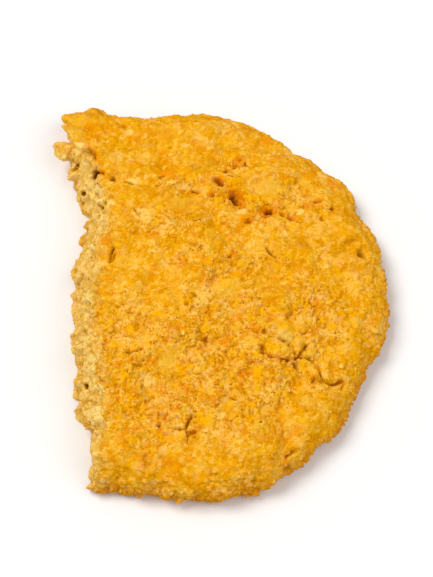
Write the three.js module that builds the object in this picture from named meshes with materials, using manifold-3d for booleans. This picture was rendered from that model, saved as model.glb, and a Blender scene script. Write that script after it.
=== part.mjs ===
// An oatmeal lemon cookie with one side broken off, lying on its flat underside, +Z up, in millimetres.
// It starts as a round hand-shaped slab with a low dome and a rounded rim. The slab is cut flat
// underneath, the break is cut away at the left (-X), and a few crumbs still cling to the break.
// The origin is the middle of its box, at the height of the surface that it lies on.
import * as THREE from "three";
import { ImprovedNoise } from "three/addons/math/ImprovedNoise.js";
import { mergeVertices } from "three/addons/utils/BufferGeometryUtils.js";
import Module from "manifold-3d";

// The whole cookie, before it broke
const RADIUS = 40.2;
const RIM_ROUND = 6.5;
const RIM_TOP = 8.4;
const RIM_WIDEST = 3.2;
const DOME = 2.0;
const UNDERSIDE_TRIM = 1.3;

// How finely the slab is divided, and the shares of its triangles that its top and its underside
// get, the rest being the rim's
const MESH_STEPS = 21;
const TOP_SHARE = 0.62;
const UNDERSIDE_SHARE = 0.1;

// Where the hand-shaped outline leaves the circle: the direction in degrees from +X towards +Y,
// how far to each side it reaches, and how far out or in it goes
const OUTLINE_BUMPS = [
  { at: 124, reach: 14, out: 7.0 },
  { at: 115.5, reach: 2.5, out: 0.6 },
  { at: 109.8, reach: 2.0, out: 2.0 },
  { at: 103.5, reach: 2.0, out: -0.5 },
  { at: 94, reach: 6, out: -0.7 },
  { at: 89.5, reach: 1.2, out: 0.6 },
  { at: 82, reach: 3, out: -0.5 },
  { at: 65, reach: 4, out: 0.6 },
  { at: 53, reach: 8, out: -0.6 },
  { at: 36, reach: 6, out: 0.5 },
  { at: -28, reach: 16, out: -1.2 },
  { at: -66, reach: 12, out: 0.9 },
  { at: -100, reach: 14, out: -0.8 },
];

// Crumb relief of the crust, as round lumps with creases between them
const CRUST_LUMPS = [
  { size: 17, height: 1.0 },
  { size: 7.5, height: 0.8 },
  { size: 4.2, height: 0.7 },
];

// Pits and short cracks in the crust: the middle, half the length and width, the turn in degrees
const PITS = [
  { x: 9.1, y: 22.1, long: 1.5, wide: 1.2, turn: 40, deep: 1.3 },
  { x: 12.2, y: 18.3, long: 2.4, wide: 1.5, turn: -65, deep: 1.7 },
  { x: 18.3, y: 15.2, long: 2.0, wide: 1.3, turn: 10, deep: 1.3 },
  { x: 22.8, y: 14.4, long: 1.5, wide: 1.3, turn: 0, deep: 1.2 },
  { x: 13.3, y: 26.5, long: 2.4, wide: 1.7, turn: 20, deep: 0.8 },
  { x: -8.4, y: 22.6, long: 4.2, wide: 1.0, turn: -8, deep: 1.0 },
  { x: 4.5, y: 16.6, long: 3.4, wide: 1.0, turn: 12, deep: 0.9 },
  { x: -2.0, y: 22.8, long: 1.8, wide: 1.0, turn: 70, deep: 0.8 },
  { x: 2.0, y: 3.5, long: 4.6, wide: 1.1, turn: 8, deep: 1.1 },
  { x: 14.5, y: 2.0, long: 2.2, wide: 1.4, turn: 35, deep: 1.3 },
  { x: 26.5, y: -3.5, long: 2.6, wide: 1.4, turn: -20, deep: 1.2 },
  { x: -5.5, y: -9.0, long: 1.9, wide: 1.4, turn: 60, deep: 1.2 },
  { x: 9.5, y: -15.5, long: 4.4, wide: 1.1, turn: -24, deep: 1.1 },
  { x: 22.5, y: -20.0, long: 1.8, wide: 1.4, turn: 0, deep: 1.2 },
  { x: -3.0, y: -26.5, long: 2.3, wide: 1.3, turn: -40, deep: 1.1 },
];

// The break, as [y, x] corners of its lower and upper edges, from the far end to the near one. It
// leans outwards at the bottom, and is almost upright beside the far corner of the outline.
const BREAK_LOWER = [
  [50, -22.8], [39, -21.8], [37.4, -21.8], [36, -21.0], [31, -21.0], [29.6, -20.8], [28.4, -19.7],
  [25, -19.2], [21.6, -18.8], [20.4, -17.7], [19.2, -16.8], [17.6, -16.8], [16.4, -17.8], [15, -17.3],
  [8, -18.2], [-5, -19.2], [-17, -17.6], [-28, -14.9], [-38, -14.6], [-50, -14.6],
];
const BREAK_UPPER = [
  [50, -22.4], [39, -21.4], [37.4, -21.4], [36, -20.4], [31, -19.2], [28.5, -15.8], [24, -14.4],
  [19, -13.3], [15, -11.6], [8, -12.4], [-3, -14.6], [-14, -13.4], [-25, -10.6], [-35, -11.6],
  [-50, -12.6],
];
const BREAK_LUMPS = [
  { size: 9, height: 1.3 },
  { size: 4.4, height: 1.3 },
  { size: 2.9, height: 0.8 },
];

// The block that is cut away at the break, and how finely its face is divided
const BLOCK_WIDTH = 40;
const BLOCK_LENGTH = 100;
const BLOCK_BOTTOM = -4;
const BLOCK_TOP = 16;
const BREAK_STEP = 1.4;

// Crumbs that stick out of the break, and how uneven they are
const CRUMBS = [
  { x: -21.4, y: 31.2, z: 5.6, radius: 2.0 },
  { x: -18.9, y: 27.4, z: 3.4, radius: 1.6 },
  { x: -16.8, y: 22.4, z: 4.6, radius: 1.5 },
  { x: -17.0, y: 4.5, z: 4.0, radius: 1.9 },
  { x: -16.2, y: -12.0, z: 5.6, radius: 1.7 },
  { x: -14.2, y: -24.5, z: 3.4, radius: 1.8 },
];
const CRUMB_STEPS = 3;
const CRUMB_UNEVEN = 0.35;

const noise = new ImprovedNoise();
const NOISE_ORIGIN = 37.3;
const MERGE_WITHIN = 1e-4;

const wasm = await Module();
wasm.setup();

// Round lumps of one size with sharp creases between them, about level on average.
function lumps(point, { size, height }) {
  const n = noise.noise(
    point.x / size + NOISE_ORIGIN,
    point.y / size + NOISE_ORIGIN,
    point.z / size + NOISE_ORIGIN,
  );
  return height * (2 * Math.abs(n) - 0.4);
}

function relief(point, sizes) {
  return sizes.reduce((sum, size) => sum + lumps(point, size), 0);
}

// A smooth bell, 1 in the middle and under 2 % two reaches away.
function bell(distance) {
  return Math.exp(-distance * distance);
}

// The slab's radius in one direction.
function outline(angle) {
  const degrees = THREE.MathUtils.radToDeg(angle);
  return OUTLINE_BUMPS.reduce((radius, bump) => {
    const off = THREE.MathUtils.euclideanModulo(degrees - bump.at + 180, 360) - 180;
    return radius + bump.out * bell(off / bump.reach);
  }, RADIUS);
}

function pitDepth(point) {
  return PITS.reduce((depth, pit) => {
    const turn = THREE.MathUtils.degToRad(pit.turn);
    const dx = point.x - pit.x;
    const dy = point.y - pit.y;
    const along = (dx * Math.cos(turn) + dy * Math.sin(turn)) / pit.long;
    const across = (dy * Math.cos(turn) - dx * Math.sin(turn)) / pit.wide;
    return depth + pit.deep * bell(Math.hypot(along, across));
  }, 0);
}

// The slab's section: for a share of its surface, counted from the middle of the top, the distance
// from the axis, the height and the outward direction.
function section(share) {
  const flat = RADIUS - RIM_ROUND;
  if (share < TOP_SHARE) {
    const part = Math.sqrt(share / TOP_SHARE);
    return { across: flat * part, height: RIM_TOP + DOME * (1 - part * part), out: 0, up: 1 };
  }
  if (share > 1 - UNDERSIDE_SHARE) {
    const part = Math.sqrt((1 - share) / UNDERSIDE_SHARE);
    return { across: flat * part, height: -UNDERSIDE_TRIM, out: 0, up: -1 };
  }
  const turn = (Math.PI * (share - TOP_SHARE)) / (1 - TOP_SHARE - UNDERSIDE_SHARE);
  const up = Math.cos(turn);
  const out = Math.sin(turn);
  const rise = up > 0 ? RIM_TOP - RIM_WIDEST : RIM_WIDEST + UNDERSIDE_TRIM;
  return { across: flat + RIM_ROUND * out, height: RIM_WIDEST + rise * up, out, up };
}

// The geometry with only its positions left and its shared vertices merged.
function merged(geometry) {
  geometry.deleteAttribute("normal");
  geometry.deleteAttribute("uv");
  return mergeVertices(geometry, MERGE_WITHIN);
}

function movePoints(geometry, move) {
  const position = geometry.getAttribute("position");
  const point = new THREE.Vector3();
  for (let i = 0; i < position.count; i++) {
    point.fromBufferAttribute(position, i);
    move(point);
    position.setXYZ(i, point.x, point.y, point.z);
  }
  return geometry;
}

function solid(geometry) {
  return new wasm.Manifold(
    new wasm.Mesh({
      numProp: 3,
      vertProperties: geometry.getAttribute("position").array,
      triVerts: new Uint32Array(geometry.index.array),
    }),
  );
}

// The whole cookie: an even ball of triangles laid onto the slab's section, then roughened.
function wholeCookie() {
  const ball = merged(new THREE.IcosahedronGeometry(1, MESH_STEPS));
  return solid(
    movePoints(ball, (point) => {
      const angle = Math.atan2(point.y, point.x);
      const { across, height, out, up } = section((1 - point.z) / 2);
      const distance = (across * outline(angle)) / RADIUS;
      point.set(distance * Math.cos(angle), distance * Math.sin(angle), height);
      const rise = relief(point, CRUST_LUMPS) - Math.max(up, 0) * pitDepth(point);
      const outwards = new THREE.Vector3(out * Math.cos(angle), out * Math.sin(angle), up);
      point.addScaledVector(outwards.normalize(), rise);
    }),
  );
}

// A block whose underside is the surface that the cookie lies on, larger than the cookie.
function roomAboveFloor() {
  const side = 3 * RADIUS;
  const room = new THREE.BoxGeometry(side, side, side);
  room.translate(0, 0, side / 2);
  return solid(merged(room));
}

// The x of an edge of the break at one y.
function edgeAt(edge, y) {
  const next = Math.max(1, edge.findIndex(([cornerY]) => cornerY <= y));
  const [y0, x0] = edge[next - 1];
  const [y1, x1] = edge[next];
  return THREE.MathUtils.mapLinear(y, y0, y1, x0, x1);
}

// What broke off: a block whose +X face follows the two edges of the break, roughened.
function brokenOff() {
  const height = BLOCK_TOP - BLOCK_BOTTOM;
  const alongSteps = Math.round(BLOCK_LENGTH / BREAK_STEP);
  const upSteps = Math.round(height / BREAK_STEP);
  const block = new THREE.BoxGeometry(BLOCK_WIDTH, BLOCK_LENGTH, height, 1, alongSteps, upSteps);
  const outerFace = -RADIUS - BLOCK_WIDTH;
  block.translate(outerFace + BLOCK_WIDTH / 2, 0, BLOCK_BOTTOM + height / 2);
  return solid(
    movePoints(merged(block), (point) => {
      if (point.x < outerFace + BLOCK_WIDTH / 2) return;
      const up = THREE.MathUtils.clamp(point.z / (RIM_TOP + DOME), 0, 1);
      const lower = edgeAt(BREAK_LOWER, point.y);
      const upper = edgeAt(BREAK_UPPER, point.y);
      point.x = THREE.MathUtils.lerp(lower, upper, up);
      point.x -= relief(point, BREAK_LUMPS);
    }),
  );
}

function crumb({ x, y, z, radius }) {
  const ball = merged(new THREE.IcosahedronGeometry(radius, CRUMB_STEPS));
  const middle = new THREE.Vector3(x, y, z);
  const facets = { size: 1.7 * radius, height: CRUMB_UNEVEN * radius };
  return solid(
    movePoints(ball, (point) => {
      point.add(middle);
      const shift = lumps(point, facets);
      point.x -= shift;
      point.y += shift;
    }),
  );
}

function cookieGeometry() {
  let cookie = wholeCookie().intersect(roomAboveFloor()).subtract(brokenOff());
  for (const place of CRUMBS) cookie = cookie.add(crumb(place));
  const mesh = cookie.getMesh();
  const geometry = new THREE.BufferGeometry();
  geometry.setAttribute("position", new THREE.BufferAttribute(mesh.vertProperties, 3));
  geometry.setIndex(new THREE.BufferAttribute(mesh.triVerts, 1));
  geometry.computeBoundingBox();
  const middle = geometry.boundingBox.getCenter(new THREE.Vector3());
  geometry.translate(-middle.x, -middle.y, 0);
  geometry.computeVertexNormals();
  return geometry;
}

const crust = new THREE.MeshStandardMaterial({ color: 0xe59f24, roughness: 0.88, metalness: 0 });

const cookie = new THREE.Mesh(cookieGeometry(), crust);
cookie.name = "cookie";

const group = new THREE.Group();
group.add(cookie);

export default group;
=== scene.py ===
"""A broken oatmeal lemon cookie: its crust, rim, broken side and underside, and the crumbs, oat
flakes and pale bits in them."""
import itertools
import math
from types import SimpleNamespace

import bpy
import numpy as np
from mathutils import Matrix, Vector
from mathutils.kdtree import KDTree


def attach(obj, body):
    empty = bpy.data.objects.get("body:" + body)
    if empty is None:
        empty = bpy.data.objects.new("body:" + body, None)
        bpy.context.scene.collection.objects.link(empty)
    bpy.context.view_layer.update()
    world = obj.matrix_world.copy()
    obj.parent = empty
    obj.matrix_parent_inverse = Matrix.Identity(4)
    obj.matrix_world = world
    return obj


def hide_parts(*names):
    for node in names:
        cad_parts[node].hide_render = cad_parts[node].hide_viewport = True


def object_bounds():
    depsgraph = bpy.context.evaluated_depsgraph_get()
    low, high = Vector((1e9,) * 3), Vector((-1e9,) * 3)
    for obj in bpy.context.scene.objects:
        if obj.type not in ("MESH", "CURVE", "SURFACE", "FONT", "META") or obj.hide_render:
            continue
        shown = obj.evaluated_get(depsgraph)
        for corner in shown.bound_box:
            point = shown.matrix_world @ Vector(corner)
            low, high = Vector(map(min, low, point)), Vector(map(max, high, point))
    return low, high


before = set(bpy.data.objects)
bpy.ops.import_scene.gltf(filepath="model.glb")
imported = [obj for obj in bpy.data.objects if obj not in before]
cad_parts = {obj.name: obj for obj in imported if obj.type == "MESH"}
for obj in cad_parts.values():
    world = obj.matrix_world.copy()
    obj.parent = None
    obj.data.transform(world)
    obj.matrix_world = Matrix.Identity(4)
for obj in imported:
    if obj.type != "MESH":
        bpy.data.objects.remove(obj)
cad_low, cad_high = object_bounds()

MM = 0.001

# The whole cookie before it broke, as the box round the imported solid gives it. Places in plan are in
# mm from its middle. A patch in plan is written as x, y, half its length and width in mm, and its turn
# in degrees
WHOLE_RADIUS = 40.4 * MM
MIDDLE = np.array([cad_high.x - WHOLE_RADIUS, cad_low.y + WHOLE_RADIUS])

# The skin: its face size, how far inside the solid its relief starts, and the share of its faces that
# the flat underside keeps
SKIN_FACE = 0.23 * MM
SKIN_INSET = 0.28 * MM
UNDERSIDE_KEPT = 0.4

# The coarse copy of the solid that gives the skin its outward directions: its face size, how often it
# is smoothed, how many of its vertices a direction comes from, and how often directions are blurred
GUIDE_FACE = 1.5 * MM
GUIDE_SMOOTHING = 6
GUIDE_NEIGHBOURS = 4
DIRECTION_BLUR = 12

# The regions of the skin, each by the limits between which it begins and is full: distances from the
# middle of the whole cookie, parts of the outward direction, and heights
RIM_RADII = (WHOLE_RADIUS - 12 * MM, WHOLE_RADIUS - 4 * MM)
BREAK_END_RADII = (WHOLE_RADIUS - 0.5 * MM, WHOLE_RADIUS + 1.5 * MM)
SIDE_UPWARDS = (0.85, 0.45)
UNDERSIDE_DOWNWARDS = (0.55, 0.85)
BREAK_LEFTWARDS = (0.42, 0.62)
LOW_HEIGHTS = (6.5 * MM, 0.5 * MM)
BREAK_FOOT_HEIGHTS = (3.0 * MM, 0.6 * MM)
PLATE_HEIGHTS = (1.5 * MM, 3 * MM)
# How far the break's edge strays, in parts of the outward direction
BREAK_WOBBLE = 0.5
# How far on the side a place is where it begins to be too steep for cracks, orange patches and the
# larger pits, and where it is
STEEP_SIDE = (0.3, 0.8)
# How far beyond the middle the crust begins to show in the photograph, and shows
SHOWN_BEYOND = (6 * MM, 12 * MM)

# Relief as packed grains, the largest first: their size, their height and their share of the tint
COMPACT_GRAINS = [
    (5.0 * MM, 0.22 * MM, 0.25),
    (2.2 * MM, 0.18 * MM, 0.25),
    (1.1 * MM, 0.14 * MM, 0.25),
    (0.6 * MM, 0.10 * MM, 0.25),
]
CRUMBLY_GRAINS = [
    (4.2 * MM, 0.42 * MM, 0.25),
    (2.0 * MM, 0.48 * MM, 0.25),
    (1.1 * MM, 0.44 * MM, 0.25),
    (0.6 * MM, 0.26 * MM, 0.25),
]
BROKEN_GRAINS = [
    (4.8 * MM, 0.55 * MM, 0.15),
    (2.6 * MM, 0.62 * MM, 0.45),
    (1.2 * MM, 0.24 * MM, 0.25),
    (0.6 * MM, 0.12 * MM, 0.15),
]
UNDERSIDE_GRAINS = [
    (3.8 * MM, 0.16 * MM, 0.4),
    (1.6 * MM, 0.13 * MM, 0.3),
    (0.8 * MM, 0.09 * MM, 0.3),
]
# Seeds of the four, a layer's own being 10 more than that of the layer before
COMPACT_SEED = 100
CRUMBLY_SEED = 150
BROKEN_SEED = 300
UNDERSIDE_SEED = 500
# The form of a grain: the width of its shoulder in sizes, and its height as a share of the layer's,
# made of a least height, what its own random number adds, and its tilt
GRAIN_SHOULDER = 0.4
GRAIN_LEAST = 0.3
GRAIN_UNEVEN = 0.7
GRAIN_TILT = 1.2

# Smooth random patterns: the size of their patches, and their seed
BREAK_EDGE_PATTERN = (1.6 * MM, 21)
CRUMBLY_PATCHES = (11 * MM, 61)
CRUMBLY_SPECKS = (3.2 * MM, 62)
GRAINY_SIDE_PATCHES = (6 * MM, 63)
CRACKED_PATCHES = (5 * MM, 72)
UNEVEN_DEPTHS = (0.7 * MM, 37)

# How ragged the edges of what has a place of its own are: a size and a seed
RAGGED_PLATES = (1.6 * MM, 26)
RAGGED_ORANGE = (1.6 * MM, 46)
RAGGED_YELLOW = (2.2 * MM, 56)
RAGGED_ZONES = (5 * MM, 41)
RAGGED_HOLES = (0.9 * MM, 36)
RAGGED_PITS = [(2.0 * MM, 31), (0.8 * MM, 34)]

# Where the crust that shows in the photograph is crumbly instead of compact, as patches in plan
CRUMBLY_ZONES = [
    (18.5, 17.5, 13.0, 7.0, 0),
    (12.0, 26.5, 3.4, 2.6, 20),
    (2.0, 21.2, 5.0, 2.6, -10),
    (-1.0, 12.0, 7.0, 3.4, 0),
    (-20.3, 35.6, 3.4, 2.6, 20),
]
ZONE_EDGE = (0.15, 0.75)

# Elsewhere it is crumbly in random patches: the weight of the specks in their pattern, where that
# begins and is full, and how much fainter the patches are where the crust shows
SPECK_WEIGHT = 0.5
CRUMBLY_FROM = (0.40, 0.90)
FAINTER_WHERE_SHOWN = 0.8
# How much less crumbly it is on yellow patches and along the rim's top
FAINTER_ON_YELLOW = 0.6
FAINTER_ALONG_RIM = 0.65
# The side's crumbliness: high up beside low down, the least of it and what random patches add, and how
# much there is where the side is hidden, and how much less where it shows
SIDE_HIGH_UP = 0.5
SIDE_LEAST = 0.45
SIDE_UNEVEN = 0.5
SIDE_HIDDEN = 1.6
SIDE_LESS_SHOWN = 0.6

# Oat flakes that lie flush in the crust: how far apart they could be, the share of those places that
# has one, its radius where its edge begins and ends and the width of the groove round it in spacings,
# how high it lies, how far it levels the grains, the depth of the groove, and the seed
FLUSH_FLAKE_SPACING = 4.6 * MM
FLUSH_FLAKE_SHARE = 0.30
FLUSH_FLAKE_EDGE = (0.24, 0.33)
FLUSH_FLAKE_GROOVE = 0.05
FLUSH_FLAKE_HEIGHT = 0.22 * MM
FLUSH_FLAKE_LEVELS = 0.7
FLUSH_FLAKE_GROOVE_DEPTH = 0.07 * MM
FLUSH_FLAKE_SEED = 600

# Plates of crust, large flakes and bits that show as paler patches: a patch in plan, and how pale it
# is. In the break they stand out by the height given
PALE_PLATES = [
    (-5.3, 13.8, 2.2, 1.5, -40, 0.60),
    (-10.7, 27.4, 1.8, 1.2, 15, 0.35),
    (17.7, 20.4, 2.6, 1.6, 5, 0.15),
    (13.2, 15.0, 1.3, 0.8, -35, 0.75),
    (24.2, 15.0, 0.9, 0.6, 10, 0.8),
    (-0.4, 21.1, 1.0, 0.9, 0, 1.0),
    (-8.3, 33.6, 0.9, 0.7, 60, 0.6),
    (1.8, 20.0, 1.4, 0.7, -10, 0.5),
    (-18.4, 30.2, 1.1, 1.0, 0, 1.0),
    (-16.4, 20.5, 1.5, 1.3, -20, 0.9),
    (-18.1, 26.8, 1.3, 1.2, 0, 0.6),
    (-7.5, 21.9, 0.7, 0.6, 0, 0.9),
    (6.0, -4.0, 2.4, 1.6, 60, 0.4),
    (20.5, -12.0, 2.0, 1.4, 20, 0.35),
    (-4.0, -20.0, 1.6, 1.1, -20, 0.5),
    (9.0, -27.0, 0.9, 0.7, 0, 0.8),
]
PLATE_EDGE = (0.25, 0.60)
BROKEN_PLATE_HEIGHT = 0.3 * MM
BROKEN_PLATE_LEVELS = 0.7

# Patches in plan of a deeper orange, besides those round the pits, which are wider than the pits by
# the factor given
ORANGE_PATCHES = [
    (-1.0, 23.9, 2.2, 1.0, 0),
    (14.4, 13.2, 1.7, 0.8, 15),
    (25.9, 16.2, 1.8, 1.0, 0),
    (29.3, 16.3, 1.3, 0.8, -20),
    (18.3, 31.2, 1.4, 0.9, -20),
    (30.6, 22.2, 1.4, 0.9, -60),
    (12.0, -8.0, 1.8, 1.0, 30),
    (3.0, -22.0, 1.5, 0.9, -40),
]
ORANGE_EDGE = (0.15, 0.75)
PIT_SURROUNDINGS = 1.9
SURROUNDINGS_STRENGTH = 0.8

# Patches in plan of a clearer yellow, where the crust is smoother
YELLOW_PATCHES = [
    (17.8, 20.0, 4.4, 2.3, 0),
    (11.8, 15.2, 2.6, 1.3, -20),
    (25.4, 22.0, 2.2, 1.2, -40),
    (2.4, 16.6, 3.2, 1.4, 10),
    (21.2, 13.2, 2.4, 0.8, 10),
    (-21.2, 37.0, 2.0, 1.6, 25),
    (-18.4, 36.6, 2.0, 1.5, 25),
    (-19.4, 33.2, 2.4, 1.3, 0),
    (10.0, -2.0, 3.6, 2.0, 30),
    (22.0, -12.0, 2.6, 1.6, -20),
    (0.0, -16.0, 3.2, 1.8, 50),
    (-8.0, 4.0, 2.6, 1.4, 0),
]
YELLOW_EDGE = (0.2, 0.8)

# Pits in the crust: a patch in plan, and its depth in mm
PITS = [
    (9.1, 21.9, 0.75, 1.0, 20, 1.5),
    (12.0, 18.3, 1.7, 0.9, -62, 1.6),
    (18.3, 15.0, 1.1, 0.8, 10, 1.5),
    (17.8, 13.7, 0.6, 0.4, 20, 0.8),
    (20.8, 14.0, 0.5, 0.4, 0, 0.7),
    (22.7, 13.5, 0.7, 0.6, 0, 0.9),
    (12.9, 27.2, 0.7, 0.5, 20, 0.8),
    (14.3, 26.1, 0.6, 0.5, 0, 0.7),
    (11.9, 25.8, 0.5, 0.4, 0, 0.6),
    (10.3, 24.3, 0.5, 0.4, 0, 0.7),
    (7.7, 18.7, 0.8, 0.5, 15, 0.8),
    (27.8, 17.7, 0.8, 0.4, 20, 0.7),
    (14.4, 12.6, 0.9, 0.4, 25, 0.6),
    (9.9, 12.0, 0.5, 0.4, 0, 0.5),
    (-15.8, 27.9, 2.0, 0.7, -60, 1.1),
    (-13.0, 16.2, 1.4, 0.5, -75, 0.8),
    (-13.8, 23.2, 0.8, 0.5, 0, 1.0),
]

# Short cracks in the crust, in plan: x, y and half its length in mm, and its turn in degrees. Then
# half the width of them all, in mm, and their depth
CRACKS = [
    (-11.1, 21.9, 0.8, -35),
    (-8.3, 21.6, 1.5, -5),
    (-2.2, 23.0, 0.8, -15),
    (-2.4, 21.6, 0.7, 35),
    (4.0, 19.4, 1.4, -12),
    (-6.8, 14.9, 1.2, -50),
    (30.0, 16.3, 1.3, 12),
]
CRACK_WIDTH = 0.28
CRACK_DEPTH = 0.9 * MM

# The least share of its depth that a pit or crack with a place of its own has, and what varies
DEPTH_LEAST = 0.72
DEPTH_UNEVEN = 0.56

# Random cracks: the size and seed of the plates between them, where their pattern begins and is full,
# and how far from the crease between two plates they are deepest and end, in sizes
CRACKED_PLATES = (8 * MM, 71)
CRACKED_FROM = (0.74, 0.86)
CRACK_EDGE = (0.0, 0.09)

# Random pits: how far apart they could be, the share of those places that has one, their depth and
# their seed
CRUST_PITS = (4.6 * MM, 0.14, 0.8 * MM, 200)
CRUMBLY_PITS = (2.0 * MM, 0.24, 0.6 * MM, 210)
HIDDEN_PITS = (7.0 * MM, 0.22, 1.2 * MM, 220)
BROKEN_PITS = [
    (3.8 * MM, 0.20, 1.2 * MM, 400),
    (1.8 * MM, 0.06, 0.4 * MM, 410),
]
UNDERSIDE_PITS = [
    (3.4 * MM, 0.34, 0.8 * MM, 510),
    (1.9 * MM, 0.20, 0.4 * MM, 520),
]
# How deep the first of these are on compact crust, as a share of their depth on crumbly crust
COMPACT_PITTING = 0.35
# Their form: how ragged they are, their least and added radius in sizes, their lean, and their edge
PIT_RAGGED = 1.2 * MM
PIT_LEAST = 0.12
PIT_UNEVEN = 0.26
PIT_TILT = 0.8
PIT_EDGE = (0.3, 1.0)

# Holes in the broken side, in mm: x and y from the middle of the whole cookie, z and radius
BREAK_HOLES = [
    (-14.6, 23.6, 8.4, 1.40),
    (-17.3, 21.3, 5.7, 0.85),
    (-15.1, 15.2, 3.2, 0.6),
    (-15.5, 3.0, 5.0, 1.0),
    (-15.0, -19.0, 4.5, 0.7),
]
# Their depth and their edge in radii, and the direction that they go in
DEPTH_OF_A_HOLE = 1.5
EDGE_OF_A_HOLE = (0.45, 1.0)
INTO_THE_BREAK = Vector((0.30, 0.32, -0.85)).normalized()

# Where the far edge stands a little further out, or in, than the solid's, in plan: x, y, reach and
# how far out, in mm
EDGE_NUDGES = [
    (-16.4, 39.8, 1.2, 0.6),
    (-13.3, 39.4, 1.7, -0.6),
    (-22.4, 37.2, 1.5, -0.9),
]

# The lump at the far end of the broken side, as a patch in plan: it is rounder than the rest of the
# break, stands out further and is partly golden
GOLDEN_LUMP = (-22.0, 31.0, 3.0, 2.6, 0)
LUMP_SMOOTHNESS = 0.8
LUMP_BLUR = 40
LUMP_HEIGHT = 0.4 * MM
LUMP_GOLD = 0.45
# How much smoother the break is along its foot
FOOT_SMOOTHNESS = 0.45

# How often the relief is blurred to find how deep a place lies, and the break to find how pale it is
LEVEL_BLUR = 60
PALE_BLUR = 120

# Scattered things: how many, their smallest and largest size across, and their seed
CRUST_CRUMBS = (4000, 0.40 * MM, 0.95 * MM, 11)
RIM_CRUMBS = (2200, 0.40 * MM, 0.90 * MM, 15)
BROKEN_CRUMBS = (500, 0.40 * MM, 1.10 * MM, 12)
PALE_BITS = (110, 0.45 * MM, 0.95 * MM, 14)
OAT_FLAKES = (190, 1.0 * MM, 2.2 * MM, 13)
# Where they grow rare on the crust as it gets deeper, in mm, and where none are left
CREVICE_DEPTHS = (0.1, 0.5)
# The height on the break where crumbs begin, and where they are as common as further up
CRUMB_HEIGHTS = (1.2 * MM, 2.5 * MM)
# How common crumbs are on compact crust, on a compact rim and high up on the rim
ON_COMPACT_CRUST = 0.05
ON_COMPACT_RIM = 0.15
HIGH_ON_RIM = 0.1

# A crumb: how often its ball is divided, how uneven it is and the limit of that, how much rarer large
# ones are, how its three sizes vary, how flat it is and the share of it that is sunk
SMALL_CRUMB_DIVISIONS = 1
LARGE_CRUMB_DIVISIONS = 2
CRUMB_UNEVEN = 0.28
CRUMB_UNEVEN_LIMIT = 1.6
CRUMB_RARITY = 2.2
CRUMB_SIZES = (0.7, 1.15)
CRUMB_FLATNESS = 0.8
CRUMB_SUNK = 0.25

# A loose oat flake: its rings and spokes of points, and then, as shares of its length, how uneven its
# outline is, how its two halves rise from the crease between them, how far its edge droops, its
# unevenness, and how thick it is
FLAKE_RINGS = 3
FLAKE_SPOKES = 10
FLAKE_OUTLINE = 0.10
FLAKE_CREASE = 0.08
FLAKE_DROOP = 0.05
FLAKE_BUMPS = 0.02
FLAKE_THICKNESS = 0.10
FLAKE_EDGE_THICKNESS = 0.02
# How much rarer large ones are, their width as a share of their length, how far they tilt, and the
# share of their length that they are sunk by
FLAKE_RARITY = 1.8
FLAKE_WIDTHS = (0.55, 0.85)
FLAKE_TILT = 0.12
FLAKE_SUNK = 0.02

# The camera, above the near end of the cookie as in the photograph
CAMERA_ELEVATION = math.radians(62)
CAMERA_LENS = 100
CAMERA_DISTANCE = 0.300
CAMERA_TARGET = Vector((0.0, 0.0, 5.0 * MM))

# The floor
FLOOR_SIZE = 8.0
FLOOR_GAP = 0.02 * MM
FLOOR_COLOUR = (0.86, 0.86, 0.86)
FLOOR_ROUGHNESS = 0.9

# Every surface but the floor: its roughness as its mottle rises, as the mottle's limits and the
# results, its bumps and its reflection
ROUGHNESS_OF_MOTTLE = (0.3, 0.7, 0.70, 0.90)
BUMP_STRENGTH = 0.8
SKIN_BUMPS = 0.15 * MM
CRUMB_BUMPS = 0.08 * MM
SPECULAR = 0.02

# Two lights, as place, size, power and colour, and the light from all round
KEY_LIGHT = ((-1.24, 0.35, 2.28), 1.3, 47.3, (1.0, 0.985, 0.96))
FILL_LIGHT = ((1.20, -0.60, 1.70), 1.8, 16, (0.98, 0.99, 1.0))
STUDIO_COLOUR = (1, 1, 1)
STUDIO_LIGHT = 0.42

# How many values a whole number of 32 bits has, and large odd numbers that stir whole numbers into
# random ones
WORD = 2**32
STIR_X = np.uint32(374761393)
STIR_Y = np.uint32(668265263)
STIR_Z = np.uint32(2246822519)
STIR_SEED = np.uint32(3266489917)
STIR_ALL = np.uint32(2654435761)


def random_of(cells, seed):
    """One repeatable random number from 0 to 1 for each whole-number cell."""
    x, y, z = cells.astype(np.int64).astype(np.uint32).T
    mixed = x * STIR_X + y * STIR_Y + z * STIR_Z
    mixed = (mixed + np.uint32(seed * int(STIR_SEED) % WORD)) * STIR_ALL
    mixed = (mixed ^ (mixed >> np.uint32(15))) * STIR_Z
    mixed = (mixed ^ (mixed >> np.uint32(13))) * STIR_SEED
    return (mixed ^ (mixed >> np.uint32(16))) / WORD


def random_vectors(cells, seed):
    """Three random numbers from 0 to 1 for each cell."""
    return np.stack([random_of(cells, seed + axis) for axis in (1, 2, 3)], axis=1)


def rise(values, low, high):
    """0 before low, 1 past high, smooth between. Low may be the larger of the two."""
    part = np.clip((values - low) / (high - low), 0, 1)
    return part * part * (3 - 2 * part)


def soft_noise(points, size, seed):
    """Smooth noise from 0 to 1 whose patches are about one size across."""
    places = points / size
    home = np.floor(places)
    part = rise(places - home, 0, 1)
    total = np.zeros(len(points))
    for corner in itertools.product((0, 1), repeat=3):
        weight = np.prod(np.where(corner, part, 1 - part), axis=1)
        total += weight * random_of(home + corner, seed)
    return total


def ragged(points, size, seed):
    """The points moved by up to a quarter of the size along each axis, which makes the edges of what
    they lay out ragged."""
    half = 0.5 * size
    moves = np.stack([soft_noise(points, half, seed + axis) for axis in (1, 2, 3)], axis=1)
    return points + half * (moves - 0.5)


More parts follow.
